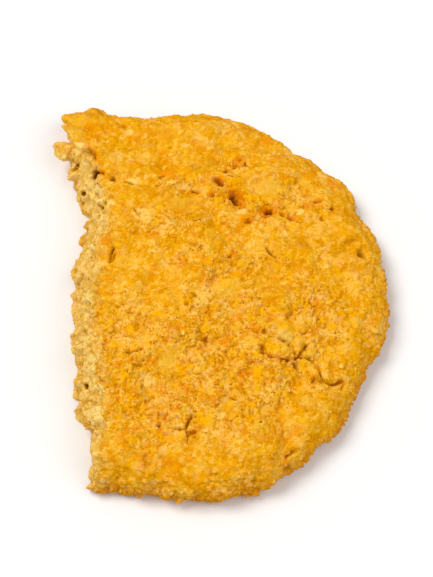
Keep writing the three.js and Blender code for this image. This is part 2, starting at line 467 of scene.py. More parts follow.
class Grains:
    """Grains about one size apart round scattered centres. For each point: how far it is from its
    grain's centre, and inside from the crease to the next grain, in sizes; the grain's own random
    number; and the point's height on a slope of the grain's own."""

    def __init__(self, points, size, seed):
        places = ragged(points, size, seed) / size
        home = np.floor(places)
        nearest = np.full(len(points), np.inf)
        second = nearest.copy()
        offset = np.zeros_like(places)
        cell = home.copy()
        for step in itertools.product((-1, 0, 1), repeat=3):
            here = home + step
            away = places - here - random_vectors(here, seed)
            distance = np.linalg.norm(away, axis=1)
            nearer = distance < nearest
            second = np.where(nearer, nearest, np.minimum(second, distance))
            nearest = np.where(nearer, distance, nearest)
            offset[nearer] = away[nearer]
            cell[nearer] = here[nearer]
        self.from_centre = nearest
        self.inside = second - nearest
        self.own = random_of(cell, seed + 4)
        self.lean = (offset * (random_vectors(cell, seed + 5) - 0.5)).sum(axis=1)


def points_of(mesh):
    values = np.empty(len(mesh.vertices) * 3)
    mesh.vertices.foreach_get("co", values)
    return values.reshape(-1, 3)


def normals_of(mesh):
    values = np.empty(len(mesh.vertices) * 3)
    mesh.vertex_normals.foreach_get("vector", values)
    return values.reshape(-1, 3)


def edges_of(mesh):
    values = np.empty(len(mesh.edges) * 2, dtype=np.int64)
    mesh.edges.foreach_get("vertices", values)
    return values.reshape(-1, 2)


def blurred(values, edges, rounds):
    """Each vertex's values averaged over its neighbours', over and over."""
    a, b = edges.T
    size = len(values)
    count = np.bincount(a, minlength=size) + np.bincount(b, minlength=size)
    for _ in range(rounds):
        sums = [
            np.bincount(a, column[b], size) + np.bincount(b, column[a], size) for column in values.T
        ]
        values = np.stack(sums, axis=1) / count[:, None]
    return values


def unit(vectors):
    return vectors / np.linalg.norm(vectors, axis=1, keepdims=True)


def set_attribute(mesh, name, values):
    layer = mesh.attributes.new(name, "FLOAT", "POINT")
    layer.data.foreach_set("value", np.ascontiguousarray(values, dtype=np.float32))


def attribute(mesh, name):
    values = np.empty(len(mesh.vertices))
    mesh.attributes[name].data.foreach_get("value", values)
    return values


def new_object(name, data):
    piece = bpy.data.objects.new(name, data)
    bpy.context.scene.collection.objects.link(piece)
    return piece


def apply_modifiers(piece):
    graph = bpy.context.evaluated_depsgraph_get()
    mesh = bpy.data.meshes.new_from_object(piece.evaluated_get(graph))
    piece.modifiers.clear()
    piece.data = mesh


def remeshed(name, source, face):
    """A copy of the source in even faces of one size."""
    piece = new_object(name, source.data.copy())
    remesh = piece.modifiers.new("even", "REMESH")
    remesh.mode = "VOXEL"
    remesh.voxel_size = face
    apply_modifiers(piece)
    return piece


def outward_directions(source, points, edges):
    """The outward direction of a smoother, coarser copy of the shape beside each point."""
    guide = remeshed("guide", source, GUIDE_FACE)
    smooth = guide.modifiers.new("smooth", "SMOOTH")
    smooth.iterations = GUIDE_SMOOTHING
    apply_modifiers(guide)
    normals = normals_of(guide.data)
    tree = KDTree(len(normals))
    for index, place in enumerate(points_of(guide.data)):
        tree.insert(place, index)
    tree.balance()
    nearest = np.array([[hit[1] for hit in tree.find_n(point, GUIDE_NEIGHBOURS)] for point in points])
    bpy.data.objects.remove(guide)
    directions = normals[nearest].mean(axis=1)
    return unit(blurred(directions, edges, DIRECTION_BLUR))


def packed_relief(points, layers, seed):
    """The height of packed grains of several sizes, flat-topped and each a little tilted, and a
    random tint that follows them."""
    height = np.zeros(len(points))
    tint = np.zeros(len(points))
    for layer, (size, tall, share) in enumerate(layers):
        grains = Grains(points, size, seed + 10 * layer)
        grain_height = GRAIN_LEAST + GRAIN_UNEVEN * grains.own + GRAIN_TILT * grains.lean
        height += tall * rise(grains.inside, 0, GRAIN_SHOULDER) * grain_height
        tint += share * grains.own
    return height, tint


def random_pits(points, size, share, deep, seed):
    """The depth of ragged pits of uneven size in a share of the places where they could be."""
    grains = Grains(ragged(points, PIT_RAGGED, seed + 6), size, seed)
    reach = PIT_LEAST + PIT_UNEVEN * grains.own / share
    edge = grains.from_centre / reach + PIT_TILT * grains.lean
    return deep * (grains.own < share) * (1 - rise(edge, *PIT_EDGE))


def random_cracks(points):
    """The depth of fine short cracks between plates of crust, here and there."""
    plates = Grains(points, *CRACKED_PLATES)
    somewhere = rise(soft_noise(points, *CRACKED_PATCHES), *CRACKED_FROM)
    return CRACK_DEPTH * somewhere * (1 - rise(plates.inside, *CRACK_EDGE))


def in_patch(points, x, y, long, wide, turn):
    """1 in the flat middle of a patch in plan, 0 outside it."""
    across, along = (points[:, :2] - MIDDLE).T / MM - np.array([[x], [y]])
    turn = math.radians(turn)
    u = (across * math.cos(turn) + along * math.sin(turn)) / long
    v = (along * math.cos(turn) - across * math.sin(turn)) / wide
    return np.exp(-((u * u + v * v) ** 1.5))


def in_patches(points, patches, ragged_by, edge):
    """1 on the patches, 0 off them, with ragged edges."""
    rough = ragged(points, *ragged_by)
    return rise(np.max([in_patch(rough, *patch) for patch in patches], axis=0), *edge)


def pale_plates(points):
    """How pale the plate is at each point, and 0 off the plates."""
    rough = ragged(points, *RAGGED_PLATES)
    plates = [pale * rise(in_patch(rough, *patch), *PLATE_EDGE) for *patch, pale in PALE_PLATES]
    return np.max(plates, axis=0)


def orange_patches(points):
    """1 on the orange patches and round the pits, 0 off them."""
    rough = ragged(points, *RAGGED_ORANGE)
    patches = [in_patch(rough, *patch) for patch in ORANGE_PATCHES]
    for x, y, long, wide, turn, _ in PITS:
        around = (PIT_SURROUNDINGS * long, PIT_SURROUNDINGS * wide)
        patches.append(SURROUNDINGS_STRENGTH * in_patch(rough, x, y, *around, turn))
    return rise(np.max(patches, axis=0), *ORANGE_EDGE)


def placed_hollows(points):
    """The depth of the pits and cracks that have a place of their own."""
    rough = points
    for ragged_by in RAGGED_PITS:
        rough = ragged(rough, *ragged_by)
    depth = np.zeros(len(points))
    for *patch, deep in PITS:
        depth = np.maximum(depth, deep * MM * in_patch(rough, *patch))
    for x, y, long, turn in CRACKS:
        depth = np.maximum(depth, CRACK_DEPTH * in_patch(rough, x, y, long, CRACK_WIDTH, turn))
    return depth * (DEPTH_LEAST + DEPTH_UNEVEN * soft_noise(points, *UNEVEN_DEPTHS))


def break_holes(points):
    """The depth of the holes in the broken side."""
    rough = ragged(points, *RAGGED_HOLES)
    depth = np.zeros(len(points))
    for x, y, z, radius in BREAK_HOLES:
        middle = [MIDDLE[0] + x * MM, MIDDLE[1] + y * MM, z * MM]
        away = np.linalg.norm(rough - middle, axis=1) / (radius * MM)
        depth = np.maximum(depth, DEPTH_OF_A_HOLE * radius * MM * (1 - rise(away, *EDGE_OF_A_HOLE)))
    return depth


def edge_nudges(points):
    """How far out or in each point of the far edge moves."""
    nudges = [out * MM * in_patch(points, x, y, reach, reach, 0) for x, y, reach, out in EDGE_NUDGES]
    return np.sum(nudges, axis=0)


def crumbliness(points, on):
    """1 where the crust is crumbly, 0 where it is compact: in zones of its own where it shows, in
    random patches where it is hidden, less along the rim's top and more low down on its side."""
    specks = SPECK_WEIGHT * soft_noise(points, *CRUMBLY_SPECKS)
    patches = rise(soft_noise(points, *CRUMBLY_PATCHES) + specks, *CRUMBLY_FROM)
    zones = in_patches(points, CRUMBLY_ZONES, RAGGED_ZONES, ZONE_EDGE)
    crumbly = np.maximum(patches * (1 - FAINTER_WHERE_SHOWN * on.shown), zones * on.shown)
    side = on.side * (SIDE_HIGH_UP + (1 - SIDE_HIGH_UP) * on.low)
    side = side * (SIDE_LEAST + SIDE_UNEVEN * soft_noise(points, *GRAINY_SIDE_PATCHES))
    side = np.minimum(side * (SIDE_HIDDEN - SIDE_LESS_SHOWN * on.shown), 1)
    crumbly = np.maximum(crumbly * (1 - FAINTER_ALONG_RIM * on.rim), side)
    return crumbly * (1 - FAINTER_ON_YELLOW * on.yellow)


def regions_of(points, outwards):
    """How far each point lies on each region of the cookie, from 0 to 1."""
    on = SimpleNamespace()
    from_middle = np.hypot(*(points[:, :2] - MIDDLE).T)
    heights = points[:, 2]
    on.rim = rise(from_middle, *RIM_RADII)
    on.side = rise(outwards[:, 2], *SIDE_UPWARDS)
    on.flat = 1 - rise(on.side, *STEEP_SIDE)
    on.underside = rise(-outwards[:, 2], *UNDERSIDE_DOWNWARDS)
    wobble = BREAK_WOBBLE * (soft_noise(points, *BREAK_EDGE_PATTERN) - 0.5)
    on.broken = rise(-outwards[:, 0] + wobble, *BREAK_LEFTWARDS) * (1 - on.underside)
    on.broken *= 1 - rise(from_middle, *BREAK_END_RADII)
    on.top = 1 - on.broken - on.underside
    on.low = rise(heights, *LOW_HEIGHTS)
    on.shown = rise(points[:, 1] - MIDDLE[1], *SHOWN_BEYOND)
    on.yellow = in_patches(points, YELLOW_PATCHES, RAGGED_YELLOW, YELLOW_EDGE)
    on.plate = pale_plates(points) * rise(heights, *PLATE_HEIGHTS)
    on.crumbly = crumbliness(points, on)
    return on


def crust_relief(points, on, hollows):
    """The crust's height and tint, and where it is an oat flake or a plate. Its grains change from
    compact to crumbly, flakes lie flush in it, and pits and cracks go into it."""
    height, tint = packed_relief(points, COMPACT_GRAINS, COMPACT_SEED)
    crumbly_height, crumbly_tint = packed_relief(points, CRUMBLY_GRAINS, CRUMBLY_SEED)
    height = height + on.crumbly * (crumbly_height - height)
    tint = tint + on.crumbly * (crumbly_tint - tint)

    oats = Grains(points, FLUSH_FLAKE_SPACING, FLUSH_FLAKE_SEED)
    is_flake = oats.own < FLUSH_FLAKE_SHARE
    flake = np.maximum(is_flake * (1 - rise(oats.from_centre, *FLUSH_FLAKE_EDGE)), on.plate)
    from_edge = (oats.from_centre - FLUSH_FLAKE_EDGE[1]) / FLUSH_FLAKE_GROOVE
    groove = is_flake * np.exp(-(from_edge**2))
    flush = FLUSH_FLAKE_HEIGHT * (1 + oats.lean)
    height += flake * FLUSH_FLAKE_LEVELS * (flush - height) - FLUSH_FLAKE_GROOVE_DEPTH * groove

    hidden = 1 - on.shown
    height -= on.flat * np.maximum(hollows, hidden * random_cracks(points))
    pitting = COMPACT_PITTING + (1 - COMPACT_PITTING) * on.crumbly
    height -= pitting * random_pits(points, *CRUST_PITS)
    height -= on.crumbly * random_pits(points, *CRUMBLY_PITS)
    height -= on.flat * hidden * random_pits(points, *HIDDEN_PITS)
    return height, tint, flake


def broken_relief(points, on):
    """The broken side's height and tint: smoother on its lump, along its foot and on the plates."""
    height, tint = packed_relief(points, BROKEN_GRAINS, BROKEN_SEED)
    for pits in BROKEN_PITS:
        height -= random_pits(points, *pits)
    height *= 1 - LUMP_SMOOTHNESS * in_patch(points, *GOLDEN_LUMP)
    height *= 1 - FOOT_SMOOTHNESS * rise(points[:, 2], *BREAK_FOOT_HEIGHTS)
    height += BROKEN_PLATE_LEVELS * on.plate * (BROKEN_PLATE_HEIGHT - height)
    return height, tint


def underside_relief(points):
    """The underside's height and tint."""
    height, tint = packed_relief(points, UNDERSIDE_GRAINS, UNDERSIDE_SEED)
    for pits in UNDERSIDE_PITS:
        height -= random_pits(points, *pits)
    return height, tint


def skin_shape(source):
    """The fine skin over the whole cookie, with what its material needs to know at each vertex."""
    skin = remeshed("skin", source, SKIN_FACE)
    mesh = skin.data
    points = points_of(mesh)
    edges = edges_of(mesh)
    outwards = outward_directions(source, points, edges)
    on = regions_of(points, outwards)

    hollows = placed_hollows(points)
    crust_height, crust_tint, flake = crust_relief(points, on, hollows)
    broken_height, broken_tint = broken_relief(points, on)
    under_height, under_tint = underside_relief(points)
    height = on.top * crust_height + on.broken * broken_height + on.underside * under_height
    height -= on.broken * hollows
    height += (1 - on.underside) * edge_nudges(points)
    tint = on.top * crust_tint + on.broken * broken_tint + on.underside * under_tint

    holes = break_holes(points)
    lump = in_patch(points, *GOLDEN_LUMP)
    points = points + lump[:, None] * (blurred(points, edges, LUMP_BLUR) - points)
    points = points + outwards * (height - SKIN_INSET + LUMP_HEIGHT * lump)[:, None]
    points = points + holes[:, None] * INTO_THE_BREAK
    height -= holes
    points[:, 2] = np.maximum(points[:, 2], cad_low.z)
    mesh.vertices.foreach_set("co", points.ravel())
    mesh.update()

    level = blurred(height[:, None], edges, LEVEL_BLUR)[:, 0]
    crumb = on.broken * (1 - LUMP_GOLD * in_patch(points, *GOLDEN_LUMP))
    layers = {
        "depth": (level - height) / MM,
        "pale": blurred(crumb[:, None], edges, PALE_BLUR)[:, 0],
        "tint": tint,
        "flake": flake * on.top,
        "plate": on.plate,
        "orange": on.flat * orange_patches(points) * on.top,
        "yellow": on.yellow * on.top,
        "crumbly": on.crumbly,
        "broken": on.broken,
        "underside": on.underside,
        "side": on.side,
        "rim": on.rim,
        "low": on.low,
    }
    for name, values in layers.items():
        set_attribute(mesh, name, values)
    return skin


# What the pieces of the skin keep of its layers
SKIN_LAYERS = (
    "depth", "tint", "flake", "plate", "orange", "yellow", "crumbly", "pale", "underside", "rim",
    "low",
)


def part_of(skin, name, kept):
    """A new piece of the skin's faces whose first corner is kept."""
    mesh = skin.data
    corners = np.empty(len(mesh.loops), dtype=np.int64)
    mesh.loops.foreach_get("vertex_index", corners)
    corners = corners.reshape(-1, 4)
    faces = corners[kept[corners[:, 0]]]
    used, renumbered = np.unique(faces, return_inverse=True)
    part = bpy.data.meshes.new(name)
    part.from_pydata(points_of(mesh)[used], [], renumbered.reshape(-1, 4).tolist())
    for layer in SKIN_LAYERS:
        set_attribute(part, layer, attribute(mesh, layer)[used])
    part.shade_smooth()
    return new_object(name, part)


def thinned(piece, share):
    """The piece with only a share of its faces."""
    fewer = piece.modifiers.new("fewer", "DECIMATE")
    fewer.ratio = share
    apply_modifiers(piece)
    return piece


def lump_mesh(divisions):
    """A ball of triangles of diameter 1, as its points and its faces."""
    before = set(bpy.data.meshes)
    bpy.ops.mesh.primitive_ico_sphere_add(subdivisions=divisions, radius=0.5)
    ball = bpy.context.object
    points = points_of(ball.data)
    faces = np.array([face.vertices[:] for face in ball.data.polygons])
    bpy.data.objects.remove(ball)
    for mesh in set(bpy.data.meshes) - before:
        bpy.data.meshes.remove(mesh)
    return points, faces


def turns(random, outwards):
    """For each place, three axes at right angles: two random ones along the surface, and outwards."""
    spare = unit(random.normal(size=outwards.shape))
    across = unit(np.cross(outwards, spare))
    along = np.cross(outwards, across)
    return np.stack([across, along, outwards], axis=1)


def scattered(name, shapes, faces, places, axes, sizes, tints):
    """One mesh of many copies: each shape is scaled and turned into its place."""
    copies = np.einsum("nvk,nkc->nvc", shapes * sizes[:, None, :], axes) + places[:, None, :]
    copies[:, :, 2] = np.maximum(copies[:, :, 2], cad_low.z)
    sunk = 0.5 - shapes[:, :, 2] * sizes[:, 2:] / sizes.min(axis=1, keepdims=True)
    count, corners = shapes.shape[:2]
    firsts = np.arange(count)[:, None, None] * corners
    mesh = bpy.data.meshes.new(name)
    mesh.from_pydata(copies.reshape(-1, 3), [], (faces + firsts).reshape(-1, 3).tolist())
    set_attribute(mesh, "tint", np.repeat(tints, corners))
    set_attribute(mesh, "sunk", sunk.ravel())
    mesh.shade_smooth()
    return new_object(name, mesh)


def chosen(random, piece, weights, count):
    """Random vertices of a piece, likelier where the weights are high: their places and normals."""
    mesh = piece.data
    picks = random.choice(len(weights), size=count, replace=False, p=weights / weights.sum())
    return points_of(mesh)[picks], normals_of(mesh)[picks]


def crumbs(name, piece, weights, kind, divisions):
    """Uneven crumbs of one kind partly sunk in a piece of the skin."""
    count, smallest, largest, seed = kind
    random = np.random.default_rng(seed)
    places, outwards = chosen(random, piece, weights, count)
    ball, faces = lump_mesh(divisions)
    uneven = random.normal(size=(count, len(ball), 1)).clip(-CRUMB_UNEVEN_LIMIT, CRUMB_UNEVEN_LIMIT)
    shapes = ball[None] * (1 + CRUMB_UNEVEN * uneven)
    across = smallest + (largest - smallest) * random.random(count) ** CRUMB_RARITY
    sizes = across[:, None] * random.uniform(*CRUMB_SIZES, size=(count, 3))
    sizes[:, 2] *= CRUMB_FLATNESS
    places = places - outwards * (across * CRUMB_SUNK)[:, None]
    return scattered(name, shapes, faces, places, turns(random, outwards), sizes, random.random(count))


def flake_faces(points_in_layer):
    """The triangles between the points of a flake, ring by ring, for its top, underside and edge."""
    top = [[0, 1 + i, 1 + (i + 1) % FLAKE_SPOKES] for i in range(FLAKE_SPOKES)]
    for ring, i in itertools.product(range(FLAKE_RINGS - 1), range(FLAKE_SPOKES)):
        a = 1 + ring * FLAKE_SPOKES + i
        b = 1 + ring * FLAKE_SPOKES + (i + 1) % FLAKE_SPOKES
        top += [[a, a + FLAKE_SPOKES, b + FLAKE_SPOKES], [a, b + FLAKE_SPOKES, b]]
    below = [[a + points_in_layer for a in reversed(face)] for face in top]
    edge = []
    for i in range(FLAKE_SPOKES):
        a = 1 + (FLAKE_RINGS - 1) * FLAKE_SPOKES + i
        b = 1 + (FLAKE_RINGS - 1) * FLAKE_SPOKES + (i + 1) % FLAKE_SPOKES
        edge += [[b, a, a + points_in_layer], [b, a + points_in_layer, b + points_in_layer]]
    return np.array(top + below + edge)


def flake_shapes(random, count):
    """Thin uneven ovals of length 1: the points of their tops, then those of their undersides."""
    turn = np.arange(FLAKE_SPOKES) * 2 * math.pi / FLAKE_SPOKES
    radius = (np.arange(1, FLAKE_RINGS + 1) / FLAKE_RINGS)[:, None]
    x = (radius * np.cos(turn)).ravel()
    y = (radius * np.sin(turn)).ravel()
    flat = np.vstack([[0, 0, 0], np.stack([x, y, np.zeros_like(x)], axis=1)]) * 0.5
    on_edge = np.arange(len(flat)) >= len(flat) - FLAKE_SPOKES
    top = flat[None] * (1 + FLAKE_OUTLINE * random.normal(size=(count, len(flat), 1)))
    crease = FLAKE_CREASE * np.abs(top[:, :, 1])
    top[:, :, 2] = crease - FLAKE_DROOP * on_edge + FLAKE_BUMPS * random.normal(size=top.shape[:2])
    under = top.copy()
    under[:, :, 2] -= np.where(on_edge, FLAKE_EDGE_THICKNESS, FLAKE_THICKNESS)
    return np.concatenate([top, under], axis=1), flake_faces(len(flat))


def oat_flakes(name, piece, weights, kind):
    """Rolled oat flakes pressed into the skin, most of them nearly flat on it."""
    count, smallest, largest, seed = kind
    random = np.random.default_rng(seed)
    places, outwards = chosen(random, piece, weights, count)
    shapes, faces = flake_shapes(random, count)
    across = smallest + (largest - smallest) * random.random(count) ** FLAKE_RARITY
    narrow = random.uniform(*FLAKE_WIDTHS, count)
    sizes = across[:, None] * np.stack([np.ones(count), narrow, np.ones(count)], axis=1)
    tilted = unit(outwards + FLAKE_TILT * random.normal(size=outwards.shape))
    places = places - outwards * (FLAKE_SUNK * across)[:, None]
    return scattered(name, shapes, faces, places, turns(random, tilted), sizes, random.random(count))


class Nodes:
    """A short way to write a material's node tree."""

    def __init__(self, name):
        self.material = bpy.data.materials.new(name)
        self.material.use_nodes = True
        self.tree = self.material.node_tree
        self.shader = self.tree.nodes["Principled BSDF"]

    def add(self, kind, inputs=None, **settings):
        node = self.tree.nodes.new(kind)
        for key, value in settings.items():
            setattr(node, key, value)
        for key, value in (inputs or {}).items():
            self.put(node.inputs[key], value)
        return node

    def put(self, socket, value):
        if isinstance(value, bpy.types.NodeSocket):
            self.tree.links.new(value, socket)
        else:
            socket.default_value = value

    def number(self, operation, a, b, clamp=False):
        node = self.add("ShaderNodeMath", {0: a, 1: b}, operation=operation, use_clamp=clamp)
        return node.outputs[0]

    def times(self, a, b):
        return self.number("MULTIPLY", a, b)

    def weighted(self, *terms):
        """The sum of values, each less a half and times its weight, round a half."""
        total = 0.5
        for value, weight in terms:
            part = self.times(self.number("SUBTRACT", value, 0.5), weight)
            total = self.number("ADD", part, total)
        return total

    def attribute(self, name):
        return self.add("ShaderNodeAttribute", attribute_name=name).outputs["Fac"]

    def noise(self, size, detail, roughness, seed):
        place = self.add("ShaderNodeTexCoord").outputs["Object"]
        moved = self.add("ShaderNodeVectorMath", {0: place, 1: (seed, seed, seed)}, operation="ADD")
        texture = self.add(
            "ShaderNodeTexNoise",
            {"Vector": moved.outputs[0], "Scale": 1 / size, "Detail": detail, "Roughness": roughness},
        )
        return texture.outputs["Fac"]

    def ramp(self, factor, stops):
        node = self.add("ShaderNodeValToRGB", {"Fac": factor})
        elements = node.color_ramp.elements
        while len(elements) < len(stops):
            elements.new(0.5)
        for element, (place, colour) in zip(elements, stops):
            element.position = place
            element.color = (*colour, 1)
        return node.outputs["Color"]

    def range(self, value, low, high, to_low=0.0, to_high=1.0):
        inputs = {"Value": value, "From Min": low, "From Max": high, "To Min": to_low, "To Max": to_high}
        return self.add("ShaderNodeMapRange", inputs, interpolation_type="SMOOTHSTEP").outputs["Result"]

    def mix(self, factor, a, b, blend="MIX"):
        node = self.add("ShaderNodeMix", data_type="RGBA", blend_type=blend)
        self.put(node.inputs["Factor"], factor)
        for socket, value in ((node.inputs[6], a), (node.inputs[7], b)):
            self.put(socket, (*value, 1) if isinstance(value, tuple) else value)
        return node.outputs[2]

    def finish(self, colour, mottle, grain, bump_depth):
        """Wires up a matte, rough surface whose roughness follows the mottle."""
        bump = self.add(
            "ShaderNodeBump",
            {"Height": self.noise(*grain), "Distance": bump_depth, "Strength": BUMP_STRENGTH},
        )
        self.put(self.shader.inputs["Base Color"], colour)
        self.put(self.shader.inputs["Roughness"], self.range(mottle, *ROUGHNESS_OF_MOTTLE))
        self.put(self.shader.inputs["Normal"], bump.outputs["Normal"])
        self.shader.inputs["Specular IOR Level"].default_value = SPECULAR
        return self.material


# Colours, as stops of a ramp or alone
CRUST_COLOURS = [
    (0.00, (0.640, 0.245, 0.000)),
    (0.30, (0.750, 0.313, 0.000)),
    (0.50, (0.800, 0.355, 0.001)),
    (0.70, (0.855, 0.415, 0.016)),
    (1.00, (0.935, 0.560, 0.120)),
]
BROKEN_COLOURS = [
    (0.00, (0.640, 0.300, 0.020)),
    (0.35, (0.780, 0.455, 0.070)),
    (0.60, (0.850, 0.550, 0.130)),
    (1.00, (0.930, 0.670, 0.220)),
]
FLAKE_COLOURS = [
    (0.00, (0.820, 0.390, 0.015)),
    (0.50, (0.870, 0.450, 0.040)),
    (1.00, (0.910, 0.540, 0.090)),
]
PALE_COLOURS = [
    (0.00, (0.880, 0.500, 0.070)),
    (1.00, (0.940, 0.620, 0.140)),
]
ORANGE = (0.80, 0.255, 0.001)
YELLOW = (0.870, 0.490, 0.035)
AMBER = (0.93, 0.450, 0.000)
BEIGE = (0.89, 0.500, 0.120)
# Toasted brown; low down on the side it is partly painted shade
TOAST_AND_SHADE_BROWN = (0.69, 0.24, 0.004)
DULL_CRUMB = (0.68, 0.35, 0.11)
FLAKE_COLOUR = (0.88, 0.475, 0.070)
PLATE_COLOUR = (0.94, 0.630, 0.160)
UNDERSIDE_COLOUR = (0.58, 0.25, 0.020)
# Painted shade: the dark brown of the crevices, pits and holes
PAINTED_CREVICE_SHADE = (0.26, 0.075, 0.001)
# Painted shade: what a shaded place keeps of its colour, as if its light had been scattered more than
# once
PAINTED_SHADE_TINT = (0.74, 0.64, 0.10)

# Weights of the tint and the noise in how light the skin is, of the noise in where the crust ends at
# the break, and of the tint and the noise in how light a crumb is
TINT_WEIGHT = 1.3
MOTTLE_WEIGHT = 2.2
SPECKLE_WEIGHT = 1.2
CLOUD_WEIGHT = 1.1
PATCHES_AT_BREAK = 0.35
MOTTLE_AT_BREAK = 0.6
CRUMB_TINT_WEIGHT = 0.7
CRUMB_MOTTLE_WEIGHT = 0.9

# Noise: its size, detail, roughness and seed
MOTTLE = (1.1 * MM, 4, 0.75, 0)
SPECKLE = (0.42 * MM, 3, 0.7, 2)
CLOUD = (6 * MM, 2, 0.55, 3)
SURFACE_GRAIN = (0.28 * MM, 4, 0.7, 5)
TOAST_PATCHES = (5 * MM, 5, 0.65, 8)
CRUMB_MOTTLE = (0.6 * MM, 3, 0.65, 0)
CRUMB_GRAIN = (0.22 * MM, 3, 0.7, 5)

# Random patches of a colour in the crust: their noise, the noise where they begin and where they are
# full, their strength on compact and on crumbly crust, and the most of that they reach
WARM_PATCHES = ((3.5 * MM, 4, 0.6, 6), (0.50, 0.66), (0.55, 0.90), 1.0)
LIGHT_PATCHES = ((2.4 * MM, 4, 0.65, 9), (0.50, 0.64), (0.35, 0.95), 1.0)
AMBER_SPOTS = ((2.6 * MM, 3, 0.5, 14), (0.53, 0.62), (0.25, 0.85), 1.0)
BEIGE_SPOTS = ((1.9 * MM, 3, 0.5, 15), (0.57, 0.64), (0.25, 0.85), 0.7)
# The same for dull patches in the broken side, which are equally strong all over
DULL_PATCHES = ((2.2 * MM, 2, 0.55, 12), (0.52, 0.70), 0.4)

# How strong each colour is where its layer is full
CLEAR_YELLOW = 0.6
DEEP_ORANGE = 0.72
TOAST_ON_RIM = 0.22
# Low down on the side the brown is partly toast and partly painted shade
TOAST_AND_SHADE_LOW_DOWN = 0.75
TOAST_ON_BREAK = 0.25

# How far speckles darken and lighten crumbly crust, how strong a flake's colour is as the mottle
# rises, and how strong the underside's is from patch to patch: the noise's limits, and the results
SPECKLE_SHADES = (0.30, 0.70, -0.27, 0.48)
FLAKE_STRENGTHS = (0.38, 0.62, 0.15, 0.75)
UNDERSIDE_STRENGTHS = (0.0, 1.0, 0.40, 0.75)
# Where toasted patches, and the colour of the break, begin and are full
TOAST_LIMITS = (0.42, 0.66)
BREAK_COLOUR_EDGE = (0.05, 0.65)

# Painted shade: how deep in mm a place is where its colour starts to be darkened, and to turn to the
# crevices' painted shade, and where each is full, with the strengths there. A crumb darkens as it sinks
PAINTED_SHADE_DEPTHS = (-0.05, 0.45, 0.0, 0.9)
CREVICE_SHADE_DEPTHS = (0.25, 1.00, 0.0, 0.9)
CRUMB_SHADE_WHERE_SUNK = (0.3, 1.0)


def crust_patches(nodes, noise, limits, strengths, most):
    """Random patches in the crust, from 0 off them to their strength on them."""
    patches = nodes.range(nodes.noise(*noise), *limits, 0.0, most)
    return nodes.times(patches, nodes.range(nodes.attribute("crumbly"), 0.0, 1.0, *strengths))


def crust_colour(nodes, shade, mottle, patches):
    """Golden, with patches of orange, yellow, amber and beige, paler flakes and a toasted rim, browner
    low down as toast and as painted shade.
    """
    clear = nodes.times(nodes.attribute("yellow"), CLEAR_YELLOW)
    less = nodes.number("SUBTRACT", 1.0, clear)
    warm = nodes.times(crust_patches(nodes, *WARM_PATCHES), less)
    light = nodes.number("MAXIMUM", crust_patches(nodes, *LIGHT_PATCHES), clear)
    colour = nodes.mix(warm, nodes.ramp(shade, CRUST_COLOURS), ORANGE)
    colour = nodes.mix(light, colour, YELLOW)
    colour = nodes.mix(crust_patches(nodes, *AMBER_SPOTS), colour, AMBER)
    colour = nodes.mix(crust_patches(nodes, *BEIGE_SPOTS), colour, BEIGE)
    flaky = nodes.range(mottle, *FLAKE_STRENGTHS)
    colour = nodes.mix(nodes.times(nodes.attribute("flake"), flaky), colour, FLAKE_COLOUR)
    colour = nodes.mix(nodes.times(nodes.attribute("orange"), DEEP_ORANGE), colour, ORANGE)
    on_rim = nodes.times(nodes.attribute("rim"), nodes.times(patches, TOAST_ON_RIM))
    # Low down the brown stands for toast and for painted shade on the side
    toast_and_shade_low_down = nodes.times(nodes.attribute("low"), TOAST_AND_SHADE_LOW_DOWN)
    toast_and_shade = nodes.times(nodes.number("ADD", on_rim, toast_and_shade_low_down, clamp=True), less)
    return nodes.mix(toast_and_shade, colour, TOAST_AND_SHADE_BROWN)


def broken_colour(nodes, shade):
    """Pale crumb with dull patches, a little toasted low down."""
    noise, limits, most = DULL_PATCHES
    dull = nodes.range(nodes.noise(*noise), *limits, 0.0, most)
    colour = nodes.mix(dull, nodes.ramp(shade, BROKEN_COLOURS), DULL_CRUMB)
    return nodes.mix(nodes.times(nodes.attribute("low"), TOAST_ON_BREAK), colour, TOAST_AND_SHADE_BROWN)


def baked_material():
    """Golden crust that turns paler where it is broken and deeper along its rim, with painted shade in
    its crevices.
    """
    nodes = Nodes("baked oats")
    mottle = nodes.noise(*MOTTLE)
    speckle = nodes.noise(*SPECKLE)
    shade = nodes.weighted(
        (nodes.attribute("tint"), TINT_WEIGHT),
        (mottle, MOTTLE_WEIGHT),
        (speckle, SPECKLE_WEIGHT),
        (nodes.noise(*CLOUD), CLOUD_WEIGHT),
    )
    grainy = nodes.times(nodes.attribute("crumbly"), nodes.range(speckle, *SPECKLE_SHADES))
    shade = nodes.number("ADD", shade, grainy)
    patches = nodes.range(nodes.noise(*TOAST_PATCHES), *TOAST_LIMITS)
    ragged_edge = nodes.weighted(
        (nodes.attribute("pale"), 1.0),
        (patches, PATCHES_AT_BREAK),
        (mottle, MOTTLE_AT_BREAK),
    )
    in_the_break = nodes.range(ragged_edge, *BREAK_COLOUR_EDGE)
    crust = crust_colour(nodes, shade, mottle, patches)
    colour = nodes.mix(in_the_break, crust, broken_colour(nodes, shade))
    colour = nodes.mix(nodes.attribute("plate"), colour, PLATE_COLOUR)
    below = nodes.times(nodes.attribute("underside"), nodes.range(patches, *UNDERSIDE_STRENGTHS))
    colour = nodes.mix(below, colour, UNDERSIDE_COLOUR)
    # Painted shade: crevices, pits and holes are darkened by how deep they lie
    depth = nodes.attribute("depth")
    colour = nodes.mix(nodes.range(depth, *PAINTED_SHADE_DEPTHS), colour, PAINTED_SHADE_TINT, "MULTIPLY")
    colour = nodes.mix(nodes.range(depth, *CREVICE_SHADE_DEPTHS), colour, PAINTED_CREVICE_SHADE)
    return nodes.finish(colour, mottle, SURFACE_GRAIN, SKIN_BUMPS)


